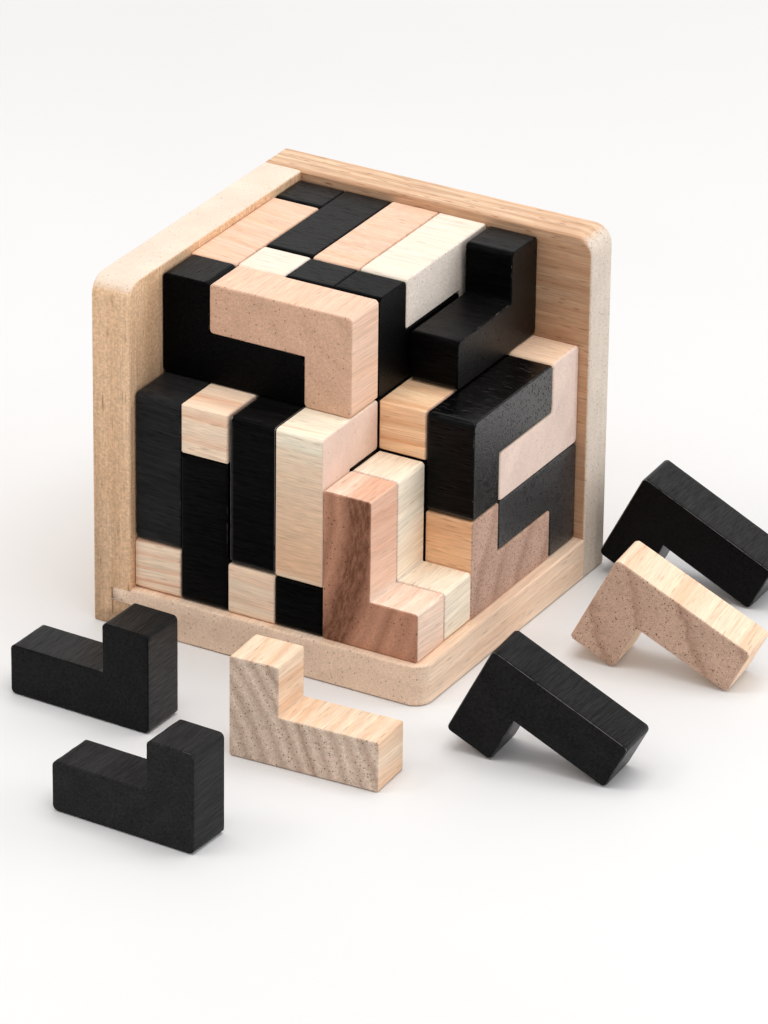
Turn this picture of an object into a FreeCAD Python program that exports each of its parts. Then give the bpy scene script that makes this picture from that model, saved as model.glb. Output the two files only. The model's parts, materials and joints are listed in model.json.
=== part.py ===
"""L-block cube puzzle: a corner tray of three boards and 54 L-shaped wooden blocks.

Frame: millimetres, +Z up, the origin at the middle of the tray's underside. The tray is open
towards -Y (front), +X (right) and +Z (top). Every board and every block is one solid, one file.
"""
import FreeCAD, Part
import math
import os

# ---- Driving dimensions (mm) -------------------------------------------------------------
CELL = 11.1             # pitch of the 6 x 6 x 6 cells
CELLS = 6               # cells along each side of the cube
PLAY = 0.1              # play between two neighbouring blocks
BLOCK_EASE = 0.4        # eased edges of a block
BOARD = 9.0             # thickness of the tray's boards
RIM_FRONT = 1.5         # how far the boards stand past the cube, front
RIM_RIGHT = 2.3         # the same, right
RIM_TOP = 1.7           # the same, top
CORNER_RADIUS = 4.0     # the three free corners of the tray
BOARD_EASE = 0.4        # eased long edges of the boards
TONGUE_LENGTH = 4.3     # the base board's tongue, out of its edge
TONGUE_THICKNESS = 2.9
TONGUE_DROP = 0.5       # top of the tongue below the top of the base board
GROOVE_GAP = 0.6        # the groove is this much deeper than the tongue is long
TONGUE_STOP = 8.0       # the rear tongue stops this far short of the right edge
NUDGE = {"U": 0.9}      # a block that stands this far out to the right

# ---- The packing -------------------------------------------------------------------------
# One plan per layer, from the bottom up. The top line of a plan is the back row, and the left
# column is beside the left board. Each letter is one block of four cells: a capital letter is a
# black-stained block, a small letter is natural wood, and a dot is an empty cell.
LAYERS = (
    ("jFhiGH",
     "CFhiGg",
     "CFhfEg",
     "CeDfEg",
     "aAbBdd",
     "aAbBcc"),
    ("jLoiGH",
     "CLoMpH",
     "mFhfnH",
     "meDKEg",
     "albBd.",
     "IAJkc."),
    ("jLoiGq",
     "jrPMpq",
     "meDfnq",
     "NeDKEO",
     "albBd.",
     "IAJkc."),
    ("RLoMpq",
     "RrPMpO",
     "msQKnO",
     "NsQKnO",
     "IlJk..",
     "IlJk.."),
    ("RVvwU.",
     "urPTU.",
     "NrPTU.",
     "NsQT..",
     "SSSt..",
     "......"),
    ("RVvwU.",
     "uVvw..",
     "uVvw..",
     "usQT..",
     "Sttt..",
     "......"),
)

# ---- Blocks lying on the table: name, pose, x, y of the corner it turns about, turn (degrees)
LOOSE_BLOCKS = (
    ("loose_black_1", "post_right", -36.0, -74.9, -1.9),
    ("loose_black_2", "post_right", -2.8, -111.8, -2.6),
    ("loose_natural_1", "post_left", 15.2, -74.8, 2.6),
    ("loose_black_3", "bridge", 60.8, -50.1, 3.7),
    ("loose_natural_2", "bridge", 63.1, -2.6, 5.2),
    ("loose_black_4", "bridge", 50.2, 33.8, 2.3),
    ("loose_black_5", "post_right", -42.0, 46.0, 3.0),
    ("loose_natural_3", "post_left", -7.0, 46.5, -4.0),
    ("loose_natural_4", "flat", -38.0, 62.0, 6.0),
)
# Cells (x, y, z) of a loose block before it is turned: three in a row, then the foot.
POSES = {
    "post_right": ((0, 0, 0), (1, 0, 0), (2, 0, 0), (2, 0, 1)),
    "post_left": ((2, 0, 0), (1, 0, 0), (0, 0, 0), (0, 0, 1)),
    "flat": ((2, 0, 0), (1, 0, 0), (0, 0, 0), (0, 1, 0)),
    "bridge": ((2, 0, -1), (1, 0, -1), (0, 0, -1), (0, 0, -2)),
}
BRIDGE_TILT = math.degrees(math.atan(0.5))   # a block standing on the edges of its foot and its arm

# ---- Places worked out from the dimensions -----------------------------------------------
CUBE = CELLS * CELL
WIDTH = BOARD + CUBE + RIM_RIGHT
DEPTH = RIM_FRONT + CUBE + BOARD
HEIGHT = BOARD + CUBE + RIM_TOP
LEFT = -WIDTH / 2
RIGHT = WIDTH / 2
FRONT = -DEPTH / 2
BACK = DEPTH / 2
INNER_LEFT = LEFT + BOARD        # the cube's left, back and bottom planes
INNER_BACK = BACK - BOARD
FLOOR = BOARD
CUBE_FRONT = FRONT + RIM_FRONT


def box(low, high):
    """A box between two corners."""
    size = [high[axis] - low[axis] for axis in range(3)]
    return Part.makeBox(*size, FreeCAD.Vector(*low))


def middle(edge):
    """The middle point of an edge."""
    return edge.valueAt((edge.FirstParameter + edge.LastParameter) / 2)


def edge_near(shape, point):
    """The edge whose middle is nearest to a point."""
    target = FreeCAD.Vector(*point)
    return min(shape.Edges, key=lambda edge: middle(edge).distanceToPoint(target))


def outer_edges(shape):
    """The edges that lie on the shape's bounding box: all but an inside corner."""
    bounds = shape.BoundBox
    faces = ((bounds.XMin, bounds.XMax), (bounds.YMin, bounds.YMax), (bounds.ZMin, bounds.ZMax))
    chosen = []
    for edge in shape.Edges:
        point = middle(edge)
        if any(min(abs(value - face) for face in pair) < 1e-6 for value, pair in zip(point, faces)):
            chosen.append(edge)
    return chosen


# ---- Blocks ------------------------------------------------------------------------------
def run_box(cells, origin):
    """The box over cells that lie in a straight run."""
    low = [min(cell[axis] for cell in cells) * CELL + origin[axis] + PLAY / 2 for axis in range(3)]
    high = [(max(cell[axis] for cell in cells) + 1) * CELL + origin[axis] - PLAY / 2
            for axis in range(3)]
    return box(low, high)


def touching(first, second):
    """True if two cells share a face."""
    return sum(abs(a - b) for a, b in zip(first, second)) == 1


def split_arm(cells):
    """The three cells in a row, the foot, and the end cell that the foot stands on."""
    for foot in cells:
        arm = [cell for cell in cells if cell != foot]
        straight = sum(len({cell[axis] for cell in arm}) == 1 for axis in range(3)) == 2
        if straight:
            elbow = next(cell for cell in arm if touching(cell, foot))
            return arm, foot, elbow
    raise ValueError("not an L of four cells")


def block_solid(cells, origin):
    """One L-shaped block over four cells, with eased edges."""
    arm, foot, elbow = split_arm(cells)
    body = run_box(arm, origin).fuse(run_box((elbow, foot), origin)).removeSplitter()
    return body.makeChamfer(BLOCK_EASE, outer_edges(body)).Solids[0]


def packed_blocks():
    """Every block in the tray, by its letter in the plans."""
    cells = {}
    for z, plan in enumerate(LAYERS):
        for y, line in enumerate(reversed(plan)):
            for x, letter in enumerate(line):
                if letter != ".":
                    cells.setdefault(letter, []).append((x, y, z))
    blocks = {}
    for letter, places in sorted(cells.items()):
        origin = (INNER_LEFT + NUDGE.get(letter, 0.0), CUBE_FRONT, FLOOR)
        colour = "black" if letter.isupper() else "natural"
        blocks["%s_block_%s" % (colour, letter)] = block_solid(places, origin)
    return blocks


def loose_block(pose, x, y, turn):
    """A block on the table, in one of its resting poses."""
    block = block_solid(POSES[pose], (0, 0, 0))
    if pose == "bridge":
        block.rotate(FreeCAD.Vector(0, 0, 0), FreeCAD.Vector(0, 1, 0), BRIDGE_TILT)
    block.rotate(FreeCAD.Vector(0, 0, 0), FreeCAD.Vector(0, 0, 1), turn)
    block.translate(FreeCAD.Vector(x, y, -block.BoundBox.ZMin))
    return block


# ---- Tray --------------------------------------------------------------------------------
def eased(shape, points):
    """The board with the edges nearest to the given points eased."""
    return shape.makeChamfer(BOARD_EASE, [edge_near(shape, point) for point in points]).Solids[0]


def base_board():
    """The base, with a tongue along its left edge and a stopped one along its rear edge."""
    tongue_top = FLOOR - TONGUE_DROP
    tongue_low = tongue_top - TONGUE_THICKNESS
    board = box((INNER_LEFT, FRONT, 0), (RIGHT, INNER_BACK, FLOOR))
    board = board.makeFillet(CORNER_RADIUS, [edge_near(board, (RIGHT, FRONT, FLOOR / 2))])
    middle_x = (INNER_LEFT + RIGHT) / 2
    middle_y = (FRONT + INNER_BACK) / 2
    board = eased(board, ((middle_x, FRONT, 0), (RIGHT, middle_y, 0)))
    left_tongue = box((INNER_LEFT - TONGUE_LENGTH, FRONT, tongue_low), (INNER_LEFT, INNER_BACK, tongue_top))
    rear_tongue = box((INNER_LEFT, INNER_BACK, tongue_low),
                      (RIGHT - TONGUE_STOP, INNER_BACK + TONGUE_LENGTH, tongue_top))
    return board.fuse(left_tongue).fuse(rear_tongue).removeSplitter().Solids[0]


def groove(low, high):
    """A groove for the tongue: the same height, between two corners in plan."""
    tongue_top = FLOOR - TONGUE_DROP
    return box((low[0], low[1], tongue_top - TONGUE_THICKNESS), (high[0], high[1], tongue_top))


def left_board():
    """The left board, butted against the back board, grooved along its inner face."""
    board = box((LEFT, FRONT, 0), (INNER_LEFT, INNER_BACK, HEIGHT))
    middle_x = (LEFT + INNER_LEFT) / 2
    board = board.makeFillet(CORNER_RADIUS, [edge_near(board, (middle_x, FRONT, HEIGHT))])
    board = eased(board, ((LEFT, FRONT, HEIGHT / 2), (LEFT, (FRONT + INNER_BACK) / 2, HEIGHT)))
    depth = TONGUE_LENGTH + GROOVE_GAP
    return board.cut(groove((INNER_LEFT - depth, FRONT), (INNER_LEFT, INNER_BACK))).Solids[0]


def back_board():
    """The back board, over the full width, with a stopped groove for the rear tongue."""
    board = box((LEFT, INNER_BACK, 0), (RIGHT, BACK, HEIGHT))
    middle_y = (INNER_BACK + BACK) / 2
    board = board.makeFillet(CORNER_RADIUS, [edge_near(board, (RIGHT, middle_y, HEIGHT))])
    board = eased(board, ((0, BACK, HEIGHT), (RIGHT, BACK, HEIGHT / 2)))
    depth = TONGUE_LENGTH + GROOVE_GAP
    return board.cut(groove((INNER_LEFT, INNER_BACK), (RIGHT - TONGUE_STOP, INNER_BACK + depth))).Solids[0]


def main():
    """Build every piece and write one STEP file for each."""
    pieces = {"base_board": base_board(), "left_board": left_board(), "back_board": back_board()}
    pieces.update(packed_blocks())
    for name, pose, x, y, turn in LOOSE_BLOCKS:
        pieces[name] = loose_block(pose, x, y, turn)
    os.makedirs("parts", exist_ok=True)
    for name, shape in pieces.items():
        if not shape.isValid():
            raise ValueError("bad solid: " + name)
        shape.exportStep("parts/%s.step" % name)
    print(len(pieces), "pieces")


main()
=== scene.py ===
"""Looks of the L-block cube puzzle: a three-board corner tray and 54 wooden blocks.

Every block is rebuilt from its own CAD node: the node says where the block lies and which way
its arm, foot and thickness point. Wood is a solid pattern, carried by mesh attributes in
millimetres, so that rings, fibres and pores run through a block from face to face.
"""
import json
import math
import random
import bmesh
import bpy
from mathutils import Matrix, Vector, noise


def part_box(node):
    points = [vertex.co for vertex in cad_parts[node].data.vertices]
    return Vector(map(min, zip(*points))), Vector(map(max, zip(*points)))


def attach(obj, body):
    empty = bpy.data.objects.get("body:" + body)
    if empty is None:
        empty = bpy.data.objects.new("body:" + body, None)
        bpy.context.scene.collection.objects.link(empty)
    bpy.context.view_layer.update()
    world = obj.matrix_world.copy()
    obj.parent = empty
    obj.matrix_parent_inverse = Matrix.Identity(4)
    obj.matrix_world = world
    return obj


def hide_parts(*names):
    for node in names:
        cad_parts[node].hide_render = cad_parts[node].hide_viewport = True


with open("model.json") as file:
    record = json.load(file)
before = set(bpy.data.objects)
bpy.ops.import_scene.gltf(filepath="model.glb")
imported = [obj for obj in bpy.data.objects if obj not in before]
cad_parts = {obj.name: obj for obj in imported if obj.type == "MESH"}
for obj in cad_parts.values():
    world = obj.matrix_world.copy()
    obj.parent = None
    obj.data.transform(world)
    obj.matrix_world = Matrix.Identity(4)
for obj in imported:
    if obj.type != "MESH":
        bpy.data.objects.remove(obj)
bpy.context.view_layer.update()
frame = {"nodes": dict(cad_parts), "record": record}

MM = 0.001
SEED = 54
COLLECTION = bpy.context.scene.collection

# ---- Block shape (mm, but for counts, angles and shares) ----
ARM_CELLS = 3                 # cells along the arm
WIDE_CELLS = 2                # cells across it, with the foot
FILLED_CELLS = {(0, 0), (1, 0), (2, 0), (0, 1)}    # those that the L fills: three in a row and the foot
BLOCK_PATCH = 1.4             # about the size of the mesh patches on a block's faces
NATURAL_EDGE = (0.4, 0.75)    # least and most rounding of the moulded edges, along the grain
BLACK_EDGE = (0.85, 1.2)      # the same for black blocks, which were tumbled for longer
SAWN_EDGE = (0.28, 0.4)       # the same for the edges of the sawn L faces
EDGE_STEPS = 4                # facets of a rounded edge
EDGE_RAGGED = 0.15            # how far an edge wanders along its length
RAGGED_RATE = 0.55            # how often it wanders, per mm
FACE_WAVE = 0.02              # how far a face is from flat
WAVE_RATE = 0.12              # how often it waves, per mm
EDGE_BEND = 0.29              # by how much a normal's largest part falls short of 1 in mid edge
WEAR_AND_HIGHLIGHT_GAIN = 1.6               # the light edge lines' mask (worn stain and painted highlight) is this much times the nearness to mid edge, and at most 1
SAWN_LEAN = (0.15, 0.95)      # how far the normals along a sawn face's edges lean to the grain
SIDEWAYS = 0.9                # a direction whose x is past this looks to the right
SAME_DIRECTION = 0.999        # two normals whose product is past this share one direction
SHARP_ANGLE = math.radians(40)    # edges that turn by more than this are sharp
NEAR = 0.1                    # places this close count as the same

# ---- Tray details (mm) ----
BOARD_EDGE = 0.55
BOARD_EDGE_STEPS = 3
CORNER_RADIUS = 4.0
CORNER_STEPS = 10
TONGUE_LENGTH = 4.3
TONGUE_THICKNESS = 2.9
TONGUE_DROP = 0.5
GROOVE_GAP = 0.6
JOINT_REACH = 0.5             # edges this close to a glued face stay square

# ---- Where a piece is cut from (mm) ----
BLOCK_LOG = 300               # how far from the middle of its log a block may lie, along the log
BOARD_LOG = 200               # the same for a board
UNEVEN_SPAN = 500             # how far from the origin a block's unevenness may be taken

# ---- Where end grain shows, by how much a face's normal points along the grain (0 to 1) ----
END_START = 0.35              # past this the end grain starts to show
END_WIDTH = 0.4               # and this much further it is all that shows

# ---- Wood ----
# Colours are linear. "long" is side grain, "late" the darker part of a growth ring there, "end" the
# end grain and "end_late" its darker part.
TONES = {
    "peach": dict(long=(0.89, 0.60, 0.45), late=(0.76, 0.45, 0.26), end=(0.72, 0.45, 0.31),
                  end_late=(0.50, 0.27, 0.17)),
    "honey": dict(long=(0.99, 0.775, 0.58), late=(0.86, 0.47, 0.29), end=(0.84, 0.63, 0.50),
                  end_late=(0.66, 0.44, 0.33)),
    "cream": dict(long=(0.93, 0.80, 0.67), late=(0.88, 0.66, 0.49), end=(0.82, 0.72, 0.63),
                  end_late=(0.62, 0.50, 0.42)),
    "amber": dict(long=(0.97, 0.66, 0.41), late=(0.66, 0.30, 0.13), end=(0.60, 0.38, 0.28),
                  end_late=(0.40, 0.23, 0.16)),
    "wheat": dict(long=(0.98, 0.88, 0.70), late=(0.80, 0.50, 0.31), end=(0.88, 0.66, 0.55),
                  end_late=(0.78, 0.56, 0.45)),
    "ivory": dict(long=(0.98, 0.87, 0.70), late=(0.86, 0.58, 0.39), end=(0.88, 0.68, 0.57),
                  end_late=(0.72, 0.50, 0.39)),
    "orange": dict(long=(0.97, 0.64, 0.39), late=(0.60, 0.25, 0.10), end=(0.57, 0.37, 0.285),
                   end_late=(0.34, 0.19, 0.13)),
    "brown": dict(long=(0.97, 0.76, 0.61), late=(0.78, 0.42, 0.28), end=(0.585, 0.288, 0.179),
                  end_late=(0.16, 0.055, 0.024)),
    "grey": dict(long=(0.94, 0.72, 0.53), late=(0.80, 0.49, 0.30), end=(0.76, 0.59, 0.47),
                 end_late=(0.40, 0.25, 0.17)),
    "rose": dict(long=(0.94, 0.72, 0.53), late=(0.78, 0.46, 0.28), end=(0.60, 0.40, 0.295),
                 end_late=(0.36, 0.20, 0.13)),
    "pink": dict(long=(0.92, 0.66, 0.47), late=(0.74, 0.45, 0.28), end=(0.80, 0.63, 0.54),
                 end_late=(0.66, 0.48, 0.40)),
    "tray": dict(long=(0.88, 0.595, 0.375), late=(0.62, 0.34, 0.165), end=(0.84, 0.69, 0.565),
                 end_late=(0.76, 0.57, 0.43)),
    "tray_base": dict(long=(0.95, 0.72, 0.54), late=(0.70, 0.44, 0.28), end=(0.94, 0.695, 0.52),
                      end_late=(0.72, 0.49, 0.35)),
    "tray_orange": dict(long=(0.85, 0.60, 0.41), late=(0.43, 0.195, 0.085), end=(0.72, 0.62, 0.52),
                        end_late=(0.60, 0.465, 0.365)),
}
FLECK_COLOUR = (0.33, 0.12, 0.05)

# What a piece of natural wood looks like.
#   tone        its colours
#   pith        the way from the middle of a block to the middle of its log, along the frame's axes;
#               for a board, where its low corner lies from the middle of the log, across the grain
#   ring        width of a growth ring (mm); the rings show as stripes across the way to the pith
#   contrast    how dark the rings are
#   soft        the part of a ring over which it fades
#   warp        how far the rings wander (mm)
#   gradual     how late in a ring it darkens
#   heart       one dark band: its distance from the middle of the piece towards the pith and half
#               its width (mm), and its strength
#   end_rings   how strongly the rings show on the end grain
#   speck       how strongly the end grain is speckled
#   grit        how strongly the side grain's fibres show
#   ripple      how strongly the side grain is rippled across
#   pores       the share of the large pores that are there
#   pore_size   spacing, radius and length of the large pores (mm)
#   flecks      the share of the long reddish marks that are there
#   fleck_size  spacing, radius and length of those marks (mm)
#   tilt        how far the log leans from the block (degrees)
#   edge        rounding of a block's edges along the grain (mm), where it isn't drawn at random
#   left_edge   rounding of the edges of its sawn face, if that looks left (mm), likewise
LOOK_DEFAULTS = dict(soft=0.12, warp=2.0, gradual=1.7, end_rings=1.0, speck=0.7, grit=1.0, ripple=0.0,
                     pores=0.5, pore_size=(1.15, 0.14, 8.0), flecks=0.0, fleck_size=(1.9, 0.17, 22.0),
                     tilt=3.0)
LOOKS = {
    "natural_block_a": dict(tone="honey", pith=(0, -20, 60), ring=2.9, contrast=1.0, gradual=3.0,
                            edge=1.0),
    "natural_block_b": dict(tone="honey", pith=(0, 20, 80), ring=4.5, contrast=0.6, speck=0.5),
    "natural_block_c": dict(tone="brown", pith=(-72.8, 0, 13.6), ring=4.1, contrast=0.46, soft=0.4,
                            warp=1.2, gradual=1.0, heart=(3.6, 4.3, 1.0), speck=0.8, pores=0.6,
                            tilt=4.0, edge=0.45),
    "natural_block_d": dict(tone="ivory", pith=(80, 0, 60), ring=6.0, contrast=0.2, pores=0.3),
    "natural_block_g": dict(tone="orange", pith=(0, 60, -34), ring=9.0, contrast=0.6, soft=0.2,
                            gradual=2.5, speck=1.0, pores=1.0, pore_size=(0.62, 0.11, 8.0),
                            flecks=0.3, edge=0.45),
    "natural_block_k": dict(tone="wheat", pith=(0, 0, 93.8), ring=38.0, contrast=1.0, warp=0.5,
                            gradual=0.4, end_rings=0.15, speck=0.35, pores=0.3),
    "natural_block_l": dict(tone="honey", pith=(0, -30, 60), ring=4.6, contrast=0.8, gradual=2.5,
                            left_edge=1.1),
    "natural_block_n": dict(tone="amber", pith=(0, 20, 60), ring=3.8, contrast=0.75, gradual=3.0,
                            pores=0.6, flecks=0.4),
    "natural_block_q": dict(tone="pink", pith=(0, 60, -60), ring=9.0, contrast=0.25, speck=0.45,
                            pores=0.15, edge=1.1),
    "natural_block_s": dict(tone="cream", pith=(0, 60, 60), ring=6.0, contrast=0.1),
    "natural_block_t": dict(tone="peach", pith=(60, 0, 60), ring=7.0, contrast=0.25, edge=0.8),
    "natural_block_u": dict(tone="peach", pith=(0, 70, 30), ring=5.0, contrast=0.5, pores=0.6, tilt=9.0),
    "natural_block_v": dict(tone="peach", pith=(0, 60, 40), ring=5.0, contrast=0.45, pores=0.6, tilt=7.0),
    "natural_block_w": dict(tone="cream", pith=(0, 60, 60), ring=7.0, contrast=0.1, speck=0.8, pores=0.2),
    "loose_natural_1": dict(tone="grey", pith=(-80, 0, -38), ring=3.4, contrast=0.85, soft=0.4,
                            warp=1.6, gradual=1.0, speck=0.9, pores=1.0, pore_size=(0.9, 0.12, 8.0),
                            edge=0.4),
    "loose_natural_2": dict(tone="rose", pith=(70, 0, 30), ring=10.0, contrast=0.7, soft=0.08,
                            gradual=6.0, speck=1.0, pores=1.0, pore_size=(0.85, 0.125, 8.0), edge=0.9),
}
BOARD_LOOKS = {
    "base_board": dict(tone="tray_base", pith=(30, -60), ring=6.0, contrast=0.45, end_rings=0.6,
                       speck=0.65, pores=0.8),
    "left_board": dict(tone="tray", pith=(-70, 25), ring=5.0, contrast=0.3, end_rings=0.3, speck=0.3,
                       grit=0.7, ripple=0.2, pores=0.8, flecks=0.9),
    "back_board": dict(tone="tray_orange", pith=(600, -38), ring=2.4, contrast=0.5, soft=0.3, warp=1.6,
                       gradual=1.0, heart=(1.2, 2.6, 0.75), end_rings=0.4, speck=0.6, grit=1.5,
                       pores=1.0, flecks=0.75, fleck_size=(1.0, 0.13, 5.0)),
}
# The blacks: "level" is the stain's linear grey, "shine" how strongly it shines and "rough" how
# dully, the rubbed-and-highlit share how much of its edges carry a thin light line, partly stain worn
# through and partly a painted highlight, and "pits" how strongly its pores show. "edge" and
# "left_edge" are as above. What is left out is drawn at random or is black_wood's own default.
BLACK_LOOKS = {
    "black_block_A": dict(level=0.0012),
    "black_block_B": dict(level=0.0012),
    "black_block_H": dict(level=0.024, shine=0.66, rough=0.3, pits=1.0),
    "black_block_I": dict(level=0.015, shine=0.12, rubbed_and_highlit=0.35, left_edge=0.9),
    "black_block_J": dict(level=0.0022, rubbed_and_highlit=1.0, edge=1.2, left_edge=1.3),
    "black_block_O": dict(level=0.0005, shine=0.68, rubbed_and_highlit=0.45, rough=0.22, pits=0.9),
    "black_block_R": dict(level=0.0022, shine=0.3, pits=0.8),
    "black_block_S": dict(level=0.0015, rubbed_and_highlit=0.3),
    "black_block_T": dict(level=0.0012, shine=0.15),
    "black_block_U": dict(level=0.0012, shine=0.24, rubbed_and_highlit=0.4),
    "loose_black_1": dict(level=0.0078, shine=0.25, rubbed_and_highlit=0.3, pits=0.35),
    "loose_black_2": dict(level=0.0185, shine=0.05, rubbed_and_highlit=0.3, rough=0.45, pits=0.3),
    "loose_black_3": dict(level=0.0115, shine=0.15, rubbed_and_highlit=0.85, edge=1.0, pits=0.35),
    "loose_black_4": dict(level=0.0028, shine=0.52, rubbed_and_highlit=0.85, edge=1.0, pits=0.4),
}
STAIN_LIGHT = (1.75, 1.7, 1.75)     # the stain's lighter streaks, as a multiple of its level
STAIN_DARK = 0.85                   # and its darker ones
PIT_COLOUR = (0.0006, 0.0006, 0.0006)
WORN_AND_HIGHLIGHT_COLOUR = (0.30, 0.28, 0.27)    # the colour of the thin light edge lines: partly stain worn through, partly a painted highlight on the rounded edge


# ==== Shader helpers ======================================================================
class Shader:
    """A material's node tree, with a short way to add nodes, sums and mixes."""

    def __init__(self, name):
        self.material = bpy.data.materials.new(name)
        self.material.use_nodes = True
        self.tree = self.material.node_tree
        self.tree.nodes.clear()

    def node(self, kind, inputs=None, **settings):
        """A node with its settings, and its inputs given as values or as another node's output."""
        made = self.tree.nodes.new(kind)
        for key, value in settings.items():
            setattr(made, key, value)
        for key, value in (inputs or {}).items():
            self.feed(made.inputs[key], value)
        return made

    def feed(self, socket, value):
        """Links an output to a socket, or sets the socket's value."""
        if isinstance(value, bpy.types.NodeSocket):
            self.tree.links.new(value, socket)
        else:
            socket.default_value = value

    def math(self, operation, first, second=0.0):
        """A math node's result."""
        return self.node("ShaderNodeMath", {0: first, 1: second}, operation=operation).outputs[0]

    def times(self, first, second):
        """A product."""
        return self.math("MULTIPLY", first, second)

    def plus(self, first, second):
        """A sum."""
        return self.math("ADD", first, second)

    def minus(self, first, second):
        """A difference."""
        return self.math("SUBTRACT", first, second)

    def scaled(self, vector, factors):
        """A vector multiplied axis by axis."""
        return self.node("ShaderNodeVectorMath", {0: vector, 1: factors}, operation="MULTIPLY").outputs[0]

    def noise(self, vector, detail=2.0, rough=0.5):
        """A noise texture's value, 0 to 1, with features about one unit across."""
        inputs = {"Vector": vector, "Scale": 1.0, "Detail": detail, "Roughness": rough}
        return self.node("ShaderNodeTexNoise", inputs).outputs[0]

    def fibres(self, grain, across, along, detail=2.0, rough=0.5):
        """Noise in the wood, with about so many features per mm across the grain and along it."""
        return self.noise(self.scaled(grain, (across, across, along)), detail, rough)

    def spread(self, value, low, high, to_low=0.0, to_high=1.0):
        """A value stretched from one range to another, and held at its ends."""
        inputs = {"Value": value, "From Min": low, "From Max": high, "To Min": to_low, "To Max": to_high}
        return self.node("ShaderNodeMapRange", inputs).outputs[0]

    def mix(self, factor, first, second, blend="MIX"):
        """Two colours mixed."""
        made = self.node("ShaderNodeMix", data_type="RGBA", blend_type=blend)
        for socket, value in ((made.inputs[0], factor), (made.inputs[6], first), (made.inputs[7], second)):
            self.feed(socket, rgba(value))
        return made.outputs[2]

    def shaded(self, colour, value, low, high, to_low, to_high, share=1.0):
        """A colour times a value that is spread to a range, all of it or a share."""
        level = self.spread(value, low, high, to_low, to_high)
        grey = self.node("ShaderNodeCombineColor", {0: level, 1: level, 2: level}).outputs[0]
        return self.mix(share, colour, grey, "MULTIPLY")

    def attribute(self, name):
        """A mesh attribute's node."""
        return self.node("ShaderNodeAttribute", attribute_name=name)

    def finish(self, colour, roughness, height, bump_mm, shine):
        """The surface, with its colour, roughness and bump."""
        bump = self.node("ShaderNodeBump", {"Height": height, "Distance": bump_mm * MM, "Strength": 1.0})
        surface = self.node("ShaderNodeBsdfPrincipled", {
            "Base Color": rgba(colour), "Roughness": roughness, "Specular IOR Level": shine,
            "Normal": bump.outputs[0]})
        output = self.node("ShaderNodeOutputMaterial")
        self.tree.links.new(surface.outputs[0], output.inputs[0])
        return self.material


def rgba(value):
    """A plain colour with its alpha; anything else as it is."""
    if isinstance(value, tuple) and len(value) == 3:
        return (*value, 1.0)
    return value


# ==== Wood materials ======================================================================
def pores(shader, grain, spacing, radius, length, share):
    """Pores as dots across the grain and dashes along it: 1 inside a pore, 0 outside."""
    cells = shader.scaled(grain, (1 / spacing, 1 / spacing, 1 / length))
    voronoi = shader.node("ShaderNodeTexVoronoi", {"Vector": cells, "Scale": 1.0, "Randomness": 1.0})
    dot = shader.spread(voronoi.outputs["Distance"], 0.8 * radius / spacing, 1.6 * radius / spacing, 1.0, 0.0)
    pick = shader.node("ShaderNodeSeparateXYZ", {0: voronoi.outputs["Color"]}).outputs[0]
    return shader.times(dot, shader.math("LESS_THAN", pick, share))


def growth_rings(shader, grain, look):
    """Growth rings round the log's axis: 0 in early wood, rising to 1 in late wood."""
    spacing, soft = look["ring"], look["soft"]
    slow = shader.fibres(grain, 0.06, 0.008)
    fine = shader.fibres(grain, 0.5, 0.06, 3.0)
    bend = shader.times(shader.minus(slow, 0.5), 2 * look["warp"])
    ragged = shader.times(shader.minus(fine, 0.5), 0.25 * spacing)
    flat = shader.scaled(grain, (1.0, 1.0, 0.0))
    radius = shader.node("ShaderNodeVectorMath", {0: flat}, operation="LENGTH").outputs["Value"]
    bent = shader.plus(radius, shader.plus(bend, ragged))
    # A ring stays pale at first, darkens, and falls back over its last part. Some are stronger.
    phase = shader.math("DIVIDE", bent, spacing)
    part = shader.math("FRACT", phase)
    rise = shader.math("POWER", shader.spread(part, 0.1, 0.97 - soft), look["gradual"])
    fall = shader.spread(part, 0.98 - soft, 1.0, 1.0, 0.0)
    ring = shader.math("FLOOR", phase)
    strength = shader.node("ShaderNodeTexWhiteNoise", {"W": ring}, noise_dimensions="1D").outputs[0]
    strength = shader.times(shader.spread(strength, 0.0, 1.0, 0.45, 1.0), look["contrast"])
    rings = shader.times(shader.times(rise, fall), strength)
    if "heart" in look:
        rings = shader.math("MAXIMUM", rings, dark_band(shader, flat, bent, look))
    return rings


def dark_band(shader, flat, bent, look):
    """One broad dark band at its own distance from the pith, streaked along itself."""
    distance, half_width, dark = look["heart"]
    far = Vector(look["pith"]).length
    away = shader.math("ABSOLUTE", shader.minus(bent, far - distance))
    band = shader.spread(away, 0.45 * half_width, 1.25 * half_width, dark, 0.0)
    parts = shader.node("ShaderNodeSeparateXYZ", {0: flat}).outputs
    along = shader.times(shader.math("ARCTAN2", parts[1], parts[0]), 0.3 * far)
    place = shader.node("ShaderNodeCombineXYZ", {0: shader.times(bent, 1.3), 1: along}).outputs[0]
    streaks = shader.noise(place, 4.0, 0.7)
    return shader.times(band, shader.spread(streaks, 0.35, 0.6, 0.62, 1.0))


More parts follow.
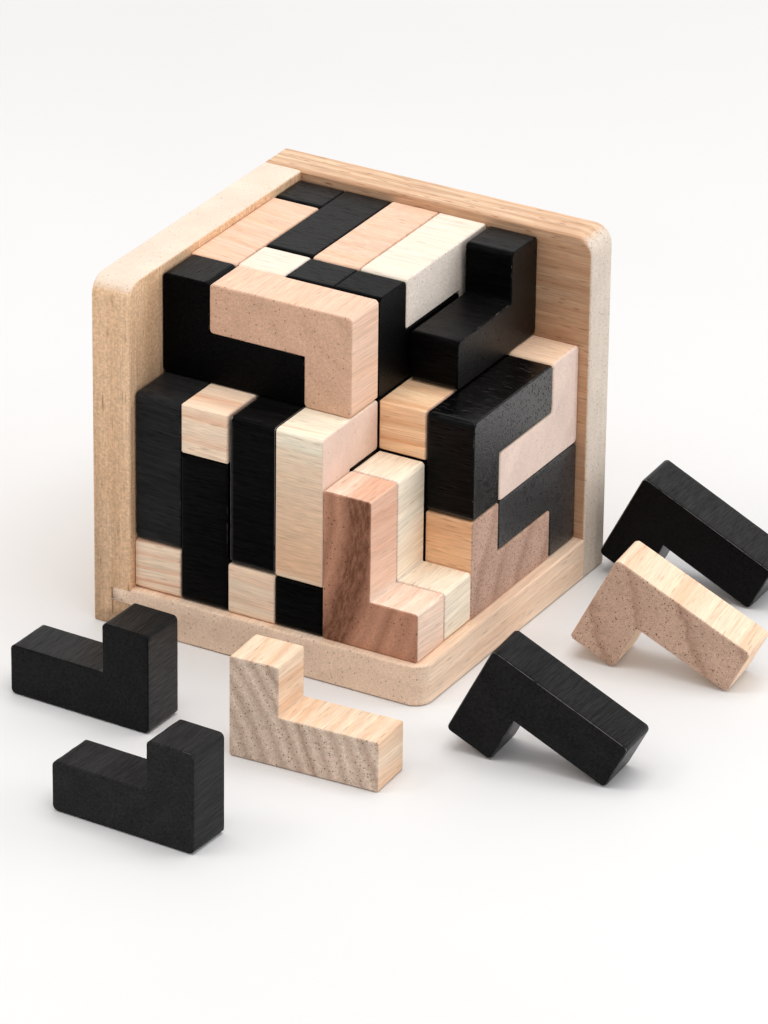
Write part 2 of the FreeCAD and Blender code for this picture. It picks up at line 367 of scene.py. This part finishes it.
def side_grain(shader, grain, rings, cloud, coarse, fibre, look):
    """The colour along the grain: rings, warm clouds, dark streaks, fibres and ripples."""
    late = TONES[look["tone"]]["late"]
    grit, ripple = look["grit"], look["ripple"]
    colour = shader.mix(rings, TONES[look["tone"]]["long"], late)
    colour = shader.mix(shader.times(shader.spread(cloud, 0.45, 0.75), 0.35), colour, late)
    streak = shader.spread(shader.fibres(grain, 1.1, 0.03, 3.0, 0.7), 0.58, 0.7)
    colour = shader.mix(shader.times(streak, 0.45 * look["contrast"] + 0.15), colour, late)
    colour = shader.shaded(colour, coarse, 0.3, 0.7, 0.90, 1.09)
    colour = shader.shaded(colour, fibre, 0.25, 0.75, 1.0 - 0.2 * grit, 1.0 + 0.16 * grit)
    if ripple:
        waves = shader.fibres(grain, 1.7, 1.9, 3.0, 0.7)
        colour = shader.shaded(colour, waves, 0.35, 0.65, 1.0 - ripple, 1.0 + 0.8 * ripple)
    return colour


def end_grain(shader, rings, coarse, fibre, look):
    """The colour across the grain, where the fibres show as specks."""
    tone, speck = TONES[look["tone"]], look["speck"]
    colour = shader.mix(shader.times(rings, look["end_rings"]), tone["end"], tone["end_late"])
    colour = shader.shaded(colour, coarse, 0.3, 0.7, 0.82, 1.15, speck)
    return shader.shaded(colour, fibre, 0.25, 0.75, 0.70, 1.24, speck)


def natural_wood(name, look):
    """Bare sanded wood: rings, fibres and pores, browner on its end grain."""
    look = LOOK_DEFAULTS | look
    tone = TONES[look["tone"]]
    shader = Shader(name)
    grain = shader.attribute("grain").outputs["Vector"]
    end = shader.attribute("end").outputs["Fac"]
    rings = growth_rings(shader, grain, look)
    cloud = shader.fibres(grain, 0.13, 0.04, 3.0)
    coarse = shader.fibres(grain, 1.5, 0.03, 4.0, 0.7)
    fibre = shader.fibres(grain, 3.6, 0.12, 3.0, 0.65)
    colour = shader.mix(end, side_grain(shader, grain, rings, cloud, coarse, fibre, look),
                        end_grain(shader, rings, coarse, fibre, look))
    colour = shader.shaded(colour, cloud, 0.25, 0.75, 0.91, 1.06)
    # Pores: dots on the end grain, thin dashes along it
    small = pores(shader, grain, spacing=0.55, radius=0.085, length=5.5, share=0.8)
    large = pores(shader, grain, *look["pore_size"], look["pores"])
    pore = shader.math("MAXIMUM", shader.times(small, 0.6), large)
    depth = shader.times(pore, shader.spread(end, 0.0, 1.0, 0.42, min(1.0, 1.1 * look["speck"])))
    dark_long = tuple(0.55 * value for value in tone["late"])
    dark_end = tuple(0.4 * value for value in tone["end_late"])
    colour = shader.mix(depth, colour, shader.mix(end, dark_long, dark_end))
    if look["flecks"]:
        fleck = pores(shader, grain, *look["fleck_size"], look["flecks"])
        fleck = shader.times(fleck, shader.spread(end, 0.0, 1.0, 0.65, 0.35))
        colour = shader.mix(fleck, colour, FLECK_COLOUR)
    height = shader.plus(shader.times(coarse, 0.6), fibre)
    height = shader.minus(height, shader.times(pore, 1.2))
    roughness = shader.spread(fibre, 0.2, 0.8, 0.55, 0.7)
    return shader.finish(colour, roughness, height, bump_mm=0.03, shine=0.3)


def black_wood(name, level, shine, rubbed_and_highlit, rough=0.37, pits=0.6):
    """Wood stained black: pores still show, and some edges carry thin light lines, partly stain worn thin and
    partly a painted highlight.
    """
    shader = Shader(name)
    grain = shader.attribute("grain").outputs["Vector"]
    end = shader.attribute("end").outputs["Fac"]
    wear_and_highlight = shader.attribute("wear_and_highlight").outputs["Fac"]
    coarse = shader.fibres(grain, 1.4, 0.05, 4.0, 0.7)
    fibre = shader.fibres(grain, 3.6, 0.2, 3.0, 0.65)
    cloud = shader.fibres(grain, 0.2, 0.05, 3.0)
    small = pores(shader, grain, spacing=0.6, radius=0.1, length=5.0, share=0.8)
    large = pores(shader, grain, spacing=0.85, radius=0.165, length=4.0, share=0.7)
    pore = shader.math("MAXIMUM", shader.times(small, 0.7), large)
    pore = shader.times(pore, pits)
    dark = (level * STAIN_DARK,) * 3
    light = tuple(level * factor for factor in STAIN_LIGHT)
    base = shader.mix(shader.spread(coarse, 0.3, 0.75), dark, light)
    base = shader.shaded(base, cloud, 0.3, 0.7, 0.86, 1.14)
    base = shader.shaded(base, fibre, 0.25, 0.75, 0.75, 1.25)
    base = shader.mix(shader.times(pore, shader.spread(end, 0.0, 1.0, 0.5, 0.95)), base, PIT_COLOUR)
    # Light edge lines: thin and broken, longer where the share is higher; partly stain worn through, partly a
    # painted highlight on the rounded edges
    patches = shader.fibres(grain, 0.3, 0.3, 5.0, 0.7)
    start = 0.72 - 0.42 * rubbed_and_highlit
    worn_and_highlight = shader.times(shader.spread(wear_and_highlight, 0.72, 0.98), shader.spread(patches, start, start + 0.14))
    base = shader.mix(shader.times(worn_and_highlight, 0.8), base, WORN_AND_HIGHLIGHT_COLOUR)
    height = shader.plus(shader.times(coarse, 0.8), fibre)
    height = shader.minus(height, shader.times(pore, 1.6))
    roughness = shader.spread(coarse, 0.3, 0.7, rough - 0.07, rough + 0.07)
    # The stain hardly shines face on, and clearly at a slant; pores and valleys stay dull
    facing = shader.node("ShaderNodeLayerWeight", {"Blend": 0.5}).outputs["Facing"]
    gloss = shader.spread(facing, 0.22, 0.56, 0.14 * shine, shine)
    gloss = shader.times(gloss, shader.spread(fibre, 0.3, 0.7, 0.5, 1.45))
    gloss = shader.times(gloss, shader.spread(coarse, 0.35, 0.65, 0.85, 1.12))
    in_pore = shader.spread(end, 0.0, 1.0, 0.45, 0.1)
    gloss = shader.times(gloss, shader.spread(pore, 0.0, 1.0, 1.0, in_pore))
    return shader.finish(base, roughness, height, bump_mm=0.05, shine=gloss)


# ==== Meshes ==============================================================================
def new_object(name, mesh, material):
    """An object in the scene with smooth shading and one material."""
    for face in mesh.polygons:
        face.use_smooth = True
    mesh.materials.append(material)
    made = bpy.data.objects.new(name, mesh)
    COLLECTION.objects.link(made)
    # Keeps the shading of the rounded edges off the flat faces beside them
    made.modifiers.new("flat_faces", "WEIGHTED_NORMAL").mode = "FACE_AREA"
    return made


def write_grain(mesh, to_wood, end_axis, domain):
    """Stores where each point lies in its log, and how far it faces the end grain.

    The second is kept by point where the faces are small, and by face where they are large.
    """
    mesh.attributes.new("grain", "FLOAT_VECTOR", "POINT")
    mesh.attributes.new("end", "FLOAT", domain)
    grain, end = mesh.attributes["grain"], mesh.attributes["end"]
    for index, vertex in enumerate(mesh.vertices):
        grain.data[index].vector = to_wood @ vertex.co
    for index, place in enumerate(mesh.vertices if domain == "POINT" else mesh.polygons):
        facing = abs(place.normal.dot(end_axis))
        end.data[index].value = min(1.0, max(0.0, (facing - END_START) / END_WIDTH))


def write_wear_and_highlight(mesh, wear_and_highlight):
    """Stores each point's share of the light edge lines, which are partly wear and partly painted highlight.
    """
    mesh.attributes.new("wear_and_highlight", "FLOAT", "POINT")
    for index, value in enumerate(wear_and_highlight):
        mesh.attributes["wear_and_highlight"].data[index].value = value


def bevel(shell, edges, radius, segments):
    """Rounds some edges."""
    bmesh.ops.bevel(shell, geom=edges, offset=radius, offset_type="OFFSET", segments=segments,
                    profile=0.5, affect="EDGES", clamp_overlap=True)
    shell.normal_update()


# ==== Block shapes ========================================================================
def main_directions(mesh):
    """The two directions that most of a mesh's surface faces, the first one first."""
    facing = []
    for face in mesh.polygons:
        for entry in facing:
            if abs(entry[1].dot(face.normal)) > SAME_DIRECTION:
                entry[0] += face.area
                break
        else:
            facing.append([face.area, face.normal.copy()])
    facing.sort(key=lambda entry: -entry[0])
    return facing[0][1].normalized(), facing[1][1]


def block_axes(mesh):
    """A block's own frame, read from its CAD mesh: x along the arm, y to the foot, z through it."""
    through, foot = main_directions(mesh)
    foot = (foot - through * foot.dot(through)).normalized()
    arm = foot.cross(through)
    points = [vertex.co for vertex in mesh.vertices]
    axes = [arm, foot, through]
    spans = [(min(p.dot(a) for p in points), max(p.dot(a) for p in points)) for a in axes]
    centre = sum((a * (low + high) / 2 for a, (low, high) in zip(axes, spans)), Vector())
    half = [(high - low) / 2 for low, high in spans]

    def room(signs):
        """How far a corner of the 3 x 2 rectangle is from the block."""
        corner = centre + arm * half[0] * signs[0] + foot * half[1] * signs[1]
        return min(((p - corner) - through * (p - corner).dot(through)).length for p in points)

    # Both axes point to the corner that holds no part of the block
    signs = max(((a, b) for a in (-1, 1) for b in (-1, 1)), key=room)
    arm, foot = arm * signs[0], foot * signs[1]
    through = arm.cross(foot)
    matrix = Matrix((arm, foot, through)).transposed().to_4x4()
    matrix.translation = centre - arm * half[0] - foot * half[1] - through * half[2]
    return matrix, [value * 2 for value in half]


def patch_stops(total, cells, cell, steps):
    """Where the patch lines lie: each cell is split evenly, and the last one ends at total."""
    edges = [0.0] + [cell + (total - cell) * index / max(1, cells - 1) for index in range(cells)]
    return [edges[k] + (edges[k + 1] - edges[k]) * part / steps
            for k in range(cells) for part in range(steps)] + [total]


def l_shell(sizes):
    """The closed, patched surface of an L block in its own frame, in mm, with square edges."""
    long, wide, thick = (value / MM for value in sizes)
    steps = round(thick / BLOCK_PATCH)
    xs = patch_stops(long, ARM_CELLS, thick, steps)
    ys = patch_stops(wide, WIDE_CELLS, thick, steps)
    zs = patch_stops(thick, 1, thick, steps)
    shell = bmesh.new()
    known = {}

    def corner(i, j, k):
        """The vertex at a crossing of patch lines, made once."""
        if (i, j, k) not in known:
            known[(i, j, k)] = shell.verts.new((xs[i], ys[j], zs[k]))
        return known[(i, j, k)]

    def solid(i, j):
        """True if a column of patches is part of the block."""
        return (i // steps, j // steps) in FILLED_CELLS

    for i in range(ARM_CELLS * steps):
        for j in range(WIDE_CELLS * steps):
            if not solid(i, j):
                continue
            for k, flip in ((0, True), (steps, False)):
                ring = [corner(i, j, k), corner(i + 1, j, k), corner(i + 1, j + 1, k), corner(i, j + 1, k)]
                shell.faces.new(ring[::-1] if flip else ring)
            sides = (((i - 1, j), (i, j + 1), (i, j)), ((i + 1, j), (i + 1, j), (i + 1, j + 1)),
                     ((i, j - 1), (i, j), (i + 1, j)), ((i, j + 1), (i + 1, j + 1), (i, j + 1)))
            for neighbour, start, stop in sides:
                if solid(*neighbour):
                    continue
                for k in range(steps):
                    below = (corner(*start, k), corner(*stop, k))
                    above = (corner(*stop, k + 1), corner(*start, k + 1))
                    shell.faces.new(below + above)
    shell.normal_update()
    return shell


def sharp_edges(shell):
    """The shell's sharp outside edges."""
    return [edge for edge in shell.edges if edge.calc_face_angle_signed(0.0) > SHARP_ANGLE]


def round_block(shell, moulded, low_sawn, high_sawn):
    """Rounds the edges along the grain, then those of the sawn face at z = 0 and of the other one."""
    def runs_along(edge):
        """True for an edge along the grain."""
        return abs(edge.verts[0].co.z - edge.verts[1].co.z) > NEAR

    bevel(shell, [edge for edge in sharp_edges(shell) if runs_along(edge)], moulded, EDGE_STEPS)
    sawn = [edge for edge in sharp_edges(shell) if not runs_along(edge)]
    low = [edge for edge in sawn if edge.verts[0].co.z < NEAR]
    high = [edge for edge in sawn if edge.verts[0].co.z > NEAR]
    bevel(shell, low, low_sawn, EDGE_STEPS)
    bevel(shell, [edge for edge in high if edge.is_valid], high_sawn, EDGE_STEPS)


def roughen(shell, shift):
    """Makes edges and faces slightly uneven, always inwards, and returns each vertex's share of the light
    edge lines, partly wear and partly painted highlight.
    """
    wear_and_highlight = []
    for vertex in shell.verts:
        edge = min(1.0, (1.0 - max(abs(value) for value in vertex.normal)) / EDGE_BEND)
        # Only the edges of the sawn faces, which lean out along the grain, get the light lines of worn stain
        # and painted highlight
        sawn = SAWN_LEAN[0] < abs(vertex.normal.z) < SAWN_LEAN[1]
        wear_and_highlight.append(min(1.0, WEAR_AND_HIGHLIGHT_GAIN * edge) if sawn else 0.0)
        ragged = noise.noise((vertex.co + shift) * RAGGED_RATE) * 0.5 + 0.5
        wave = noise.noise((vertex.co + shift) * WAVE_RATE)
        vertex.co -= vertex.normal * (EDGE_RAGGED * edge * ragged + FACE_WAVE * (wave + 1.0) / 2)
    return wear_and_highlight


def block_piece(node, material, look, rng):
    """One wooden block in place of its CAD node."""
    matrix, sizes = block_axes(frame["nodes"][node].data)
    shell = l_shell(sizes)
    rng.random()    # a draw without a use: leaving it out would change all the later ones
    moulded = look.get("edge", rng.uniform(*(BLACK_EDGE if "black" in node else NATURAL_EDGE)))
    sawn = rng.uniform(*SAWN_EDGE)
    left = look.get("left_edge", sawn)
    low_looks_left = matrix.col[2].x > SIDEWAYS
    high_looks_left = matrix.col[2].x < -SIDEWAYS
    round_block(shell, moulded, left if low_looks_left else sawn, left if high_looks_left else sawn)
    wear_and_highlight = roughen(shell, Vector([rng.uniform(-UNEVEN_SPAN, UNEVEN_SPAN) for _ in range(3)]))
    mesh = bpy.data.meshes.new(node + "_wood")
    shell.to_mesh(mesh)
    shell.free()
    # Wood coordinates: the log's axis is z, and so is the way through the block, but for the tilt
    middle = Vector([value / MM / 2 for value in sizes])
    pith = matrix.to_3x3().transposed() @ Vector(look["pith"])
    lean = math.radians(look.get("tilt", LOOK_DEFAULTS["tilt"])) * rng.choice((-1, 1))
    lean = Matrix.Rotation(lean, 4, rng.choice("XY"))
    offset = Vector((-pith.x, -pith.y, rng.uniform(-BLOCK_LOG, BLOCK_LOG)))
    to_wood = Matrix.Translation(offset) @ lean @ Matrix.Translation(-middle)
    write_grain(mesh, to_wood, Vector((0, 0, 1)), "POINT")
    write_wear_and_highlight(mesh, wear_and_highlight)
    mesh.transform(matrix @ Matrix.Scale(MM, 4))
    return new_object(node.replace("block", "piece") + "_wood", mesh, material)


# ==== Board shapes ========================================================================
def extruded(outline, depth):
    """A closed prism: an outline in x and z, drawn back along y from 0 to depth."""
    shell = bmesh.new()
    front = [shell.verts.new((x, 0, z)) for x, z in outline]
    back = [shell.verts.new((x, depth, z)) for x, z in outline]
    shell.faces.new(front)
    shell.faces.new(back[::-1])
    count = len(outline)
    for index in range(count):
        after = (index + 1) % count
        shell.faces.new((front[after], front[index], back[index], back[after]))
    bmesh.ops.recalc_face_normals(shell, faces=shell.faces)
    return shell


def round_board(shell, at_corner, keep_square):
    """Rounds the board's free corner, then its sharp edges apart from those along a joint."""
    corner = [edge for edge in shell.edges if all(at_corner(vertex.co) for vertex in edge.verts)]
    bevel(shell, corner, CORNER_RADIUS, CORNER_STEPS)
    sharp = [edge for edge in sharp_edges(shell)
             if not keep_square((edge.verts[0].co + edge.verts[1].co) / 2)]
    bevel(shell, sharp, BOARD_EDGE, BOARD_EDGE_STEPS)


def base_board():
    """The base, with its tongue along the left edge. Gives its shell and its place."""
    low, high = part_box("base_board")
    inner_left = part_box("left_board")[1].x
    width, height = (high.x - inner_left) / MM, (high.z - low.z) / MM
    depth = (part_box("back_board")[0].y - low.y) / MM
    top = height - TONGUE_DROP
    outline = ((0, 0), (width, 0), (width, height), (0, height), (0, top), (-TONGUE_LENGTH, top),
               (-TONGUE_LENGTH, top - TONGUE_THICKNESS), (0, top - TONGUE_THICKNESS))
    shell = extruded(outline, depth)
    round_board(shell, lambda p: p.x > width - NEAR and p.y < NEAR,
                lambda p: p.x < JOINT_REACH or p.y > depth - JOINT_REACH)
    return shell, Vector((inner_left, low.y, low.z))


def left_board():
    """The left board, with its groove open at the front. Gives its shell and its place."""
    low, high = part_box("left_board")
    thick, depth, height = (high - low) / MM
    base_top = (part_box("base_board")[1].z - low.z) / MM
    top = base_top - TONGUE_DROP
    bottom = top - TONGUE_THICKNESS
    groove = thick - TONGUE_LENGTH - GROOVE_GAP
    outline = ((0, 0), (thick, 0), (thick, bottom), (groove, bottom), (groove, top), (thick, top),
               (thick, height), (0, height))
    shell = extruded(outline, depth)
    round_board(shell, lambda p: p.z > height - NEAR and p.y < NEAR,
                lambda p: p.y > depth - JOINT_REACH or (p.z < base_top + NEAR and p.x > groove - NEAR))
    return shell, low


def back_board():
    """The back board, over the full width. Gives its shell and its place."""
    low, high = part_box("back_board")
    width, depth, height = (high - low) / MM
    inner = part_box("left_board")[1].x / MM - low.x / MM
    shell = extruded(((0, 0), (width, 0), (width, height), (0, height)), depth)
    round_board(shell, lambda p: p.z > height - NEAR and p.x > width - NEAR,
                lambda p: p.y < NEAR and p.x < inner)
    return shell, low


BOARDS = {"base_board": (base_board, "y"), "left_board": (left_board, "z"), "back_board": (back_board, "x")}


def board_piece(node, material, pith, rng):
    """A board in place of its CAD node."""
    make_shell, grain_axis = BOARDS[node]
    shell, origin = make_shell()
    bmesh.ops.triangulate(shell, faces=[face for face in shell.faces if len(face.verts) > 4])
    mesh = bpy.data.meshes.new(node + "_wood")
    shell.to_mesh(mesh)
    shell.free()
    # Wood coordinates: the log's axis is z, so the board's grain axis is turned to it
    order = {"x": (1, 2, 0), "y": (2, 0, 1), "z": (0, 1, 2)}[grain_axis]
    rows = [Vector([1.0 if column == source else 0.0 for column in range(3)]) for source in order]
    turn = Matrix(rows).to_4x4()
    axis = Vector([1.0 if name == grain_axis else 0.0 for name in "xyz"])
    offset = Matrix.Translation(Vector((*pith, rng.uniform(-BOARD_LOG, BOARD_LOG))))
    write_grain(mesh, offset @ turn, axis, "FACE")
    mesh.transform(Matrix.Translation(origin) @ Matrix.Scale(MM, 4))
    return new_object(node + "_wood", mesh, material)


# ==== The pieces ==========================================================================
def make_tray(rng):
    """The three boards."""
    for name in BOARDS:
        look = BOARD_LOOKS[name]
        piece = board_piece(name, natural_wood(name + "_grain", look), look["pith"], rng)
        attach(piece, "tray")
        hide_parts(name)


def random_look(rng):
    """A look for a block that hardly shows."""
    angle = rng.uniform(0, 2 * math.pi)
    far = rng.uniform(50, 100)
    pith = (far * math.cos(angle), far * math.sin(angle), far * math.sin(angle + 1.3))
    return dict(tone=rng.choice(("peach", "honey", "cream", "pink")), pith=pith,
                ring=rng.uniform(4.0, 7.0), contrast=rng.uniform(0.2, 0.5))


def random_stain(rng):
    """A black stain for a block that hardly shows."""
    # The share of edges with light lines is partly worn stain and partly painted highlight
    return dict(level=rng.uniform(0.0015, 0.003), shine=rng.uniform(0.2, 0.26),
                rubbed_and_highlit=rng.uniform(0, 0.4))


def make_blocks(rng):
    """Every block, each with its own cut of wood."""
    bodies = frame["record"]["behaviour"]["bodies"]
    body_of = {node: body for body, nodes in bodies.items() for node in nodes}
    for node in sorted(frame["nodes"]):
        if node in BOARDS:
            continue
        look, stain = random_look(rng), random_stain(rng)
        if "black" in node:
            stain |= BLACK_LOOKS.get(node, {})
            look |= {key: stain.pop(key) for key in ("edge", "left_edge") if key in stain}
            material = black_wood(node + "_grain", **stain)
        else:
            look = LOOKS.get(node, look)
            material = natural_wood(node + "_grain", look)
        piece = block_piece(node, material, look, rng)
        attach(piece, body_of[node])
        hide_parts(node)


# ==== Stage, light and camera =============================================================
def make_floor():
    """A pale, slightly uneven floor under the tray."""
    reach = 3.0        # half the floor's width (m)
    gap = 0.0001       # how far it lies below the tray (m)
    darker, lighter = (0.772, 0.769, 0.768), (0.803, 0.802, 0.803)
    shader = Shader("pale_floor")
    position = shader.node("ShaderNodeTexCoord").outputs["Object"]
    cloud = shader.noise(shader.scaled(position, (6.0, 6.0, 6.0)), 3.0)
    fine = shader.noise(shader.scaled(position, (900.0, 900.0, 900.0)))
    colour = shader.mix(shader.spread(cloud, 0.3, 0.7), darker, lighter)
    mesh = bpy.data.meshes.new("floor")
    corners = [(-reach, -reach, 0), (reach, -reach, 0), (reach, reach, 0), (-reach, reach, 0)]
    mesh.from_pydata(corners, [], [(0, 1, 2, 3)])
    mesh.materials.append(shader.finish(colour, 0.55, fine, bump_mm=0.01, shine=0.3))
    floor = bpy.data.objects.new("floor", mesh)
    floor.location.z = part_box("base_board")[0].z - gap
    COLLECTION.objects.link(floor)


def area_light(name, location, size, power, colour):
    """A soft square light aimed at the tray."""
    target = Vector((0.0, 0.0, 0.03))
    data = bpy.data.lights.new(name, "AREA")
    data.shape = "SQUARE"
    data.size = size
    data.energy = power
    data.color = colour
    lamp = bpy.data.objects.new(name, data)
    lamp.location = location
    lamp.rotation_euler = (target - Vector(location)).to_track_quat("-Z", "Y").to_euler()
    COLLECTION.objects.link(lamp)


def make_light():
    """Soft studio light: from above, from the right and from the front left, in pale surroundings."""
    area_light("above", (0.15, 0.0, 1.15), size=0.9, power=7.5, colour=(1.0, 0.985, 0.965))
    area_light("right", (0.98, 0.48, 0.40), size=0.7, power=3.4, colour=(0.87, 0.94, 1.0))
    area_light("front_left", (-0.55, -0.55, 0.95), size=0.35, power=1.45, colour=(1.0, 0.99, 0.97))
    world = bpy.data.worlds.new("surroundings")
    world.use_nodes = True
    background = world.node_tree.nodes["Background"]
    background.inputs["Color"].default_value = (1.0, 0.99, 0.985, 1.0)
    background.inputs["Strength"].default_value = 0.69
    bpy.context.scene.world = world


def make_camera():
    """The camera: from the front right and above, with a long lens."""
    azimuth, elevation, roll = math.radians(29.46), math.radians(26.36), math.radians(0.73)
    distance = 1.354
    target = Vector((0.0098, -0.0038, 0.0222))
    back = Vector((math.sin(azimuth) * math.cos(elevation), -math.cos(azimuth) * math.cos(elevation),
                   math.sin(elevation)))
    right = (-back).cross(Vector((0, 0, 1))).normalized()
    up = right.cross(-back)
    side = right * math.cos(roll) + up * math.sin(roll)
    head = up * math.cos(roll) - right * math.sin(roll)
    data = bpy.data.cameras.new("camera")
    data.sensor_width = 36.0
    data.lens = 231.6
    data.clip_start = 0.05
    data.clip_end = 20.0
    camera = bpy.data.objects.new("camera", data)
    turn = Matrix((side, head, back)).transposed().to_4x4()
    turn.translation = target + back * distance
    camera.matrix_world = turn
    COLLECTION.objects.link(camera)
    bpy.context.scene.camera = camera


generator = random.Random(SEED)
make_tray(generator)
make_blocks(generator)
make_floor()
make_light()
make_camera()
bpy.context.scene.view_settings.view_transform = "Standard"
